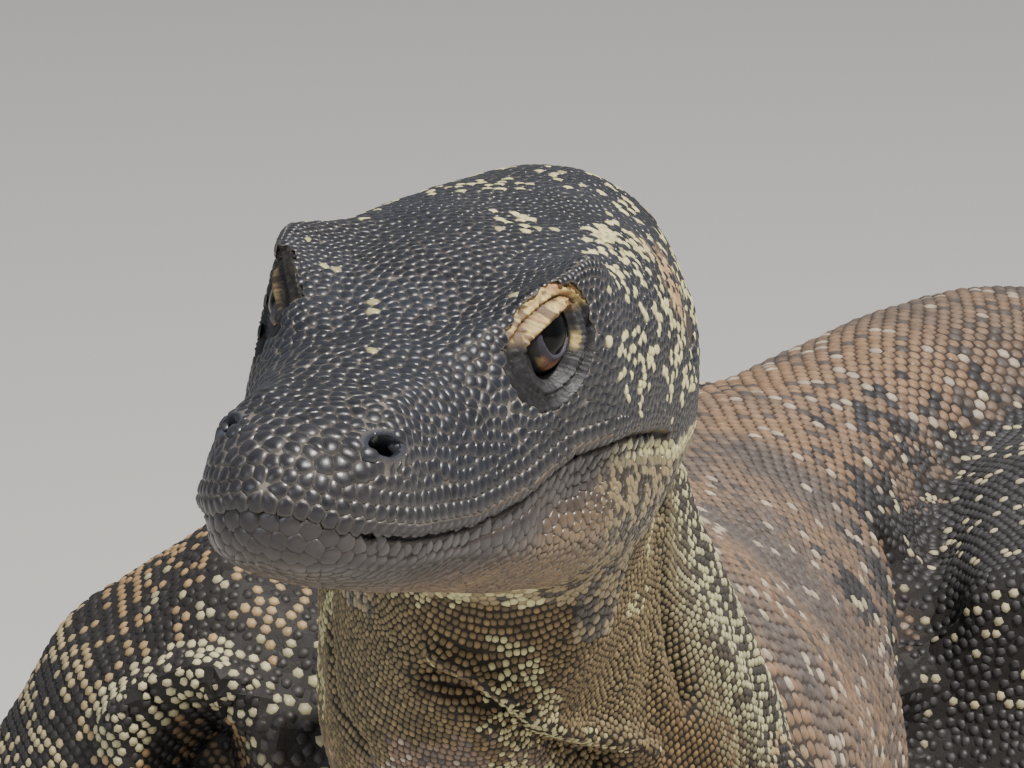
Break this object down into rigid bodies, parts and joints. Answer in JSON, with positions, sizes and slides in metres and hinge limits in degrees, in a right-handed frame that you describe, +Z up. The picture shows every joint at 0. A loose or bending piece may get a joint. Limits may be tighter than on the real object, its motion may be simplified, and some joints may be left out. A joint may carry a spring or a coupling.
{
  "type": "komodo dragon, resting with raised head",
  "caption": "Life-size model of a large monitor lizard lying propped on its forelegs with its head raised and turned, tail curving to one side",
  "frame": {"origin": "middle of the footprint box, on the floor under the belly", "axes": "+Z up; the animal faces -Y, its left side towards +X, its tail curving to +X"},
  "size_m": [1.2554, 1.298, 0.3508],
  "materials": {
    "head_hide": "glossy blue-black beaded scales with pale grooves and cream flecks",
    "throat": "folded brown throat with rows of small tan and cream beads",
    "hide": "grey-brown hide with rows of tan and cream beads",
    "eye": "dark brown, wet",
    "eardrum": "thin smooth grey-brown membrane",
    "claw": "dark horn, polished along the back"
  },
  "bodies": {
    "root": {"head": "head_hide", "lower_jaw": "head_hide", "neck_1": "throat", "neck_2": "throat", "trunk_1": "hide", "trunk_2": "hide", "trunk_3": "hide", "tail_1": "hide", "tail_2": "hide", "tail_3": "hide", "tail_4": "hide", "tail_5": "hide", "fore_left_upper": "hide", "fore_left_lower": "hide", "fore_left_foot": "hide", "fore_right_upper": "hide", "fore_right_lower": "hide", "fore_right_foot": "hide", "hind_left_upper": "hide", "hind_left_lower": "hide", "hind_left_foot": "hide", "hind_right_upper": "hide", "hind_right_lower": "hide", "hind_right_foot": "hide", "eye_left": "eye", "eye_right": "eye", "eardrum_left": "eardrum", "eardrum_right": "eardrum", "fore_left_claw_1": "claw", "fore_left_claw_2": "claw", "fore_left_claw_3": "claw", "fore_left_claw_4": "claw", "fore_left_claw_5": "claw", "fore_right_claw_1": "claw", "fore_right_claw_2": "claw", "fore_right_claw_3": "claw", "fore_right_claw_4": "claw", "fore_right_claw_5": "claw", "hind_left_claw_1": "claw", "hind_left_claw_2": "claw", "hind_left_claw_3": "claw", "hind_left_claw_4": "claw", "hind_left_claw_5": "claw", "hind_right_claw_1": "claw", "hind_right_claw_2": "claw", "hind_right_claw_3": "claw", "hind_right_claw_4": "claw", "hind_right_claw_5": "claw"}
  },
  "joints": []
}
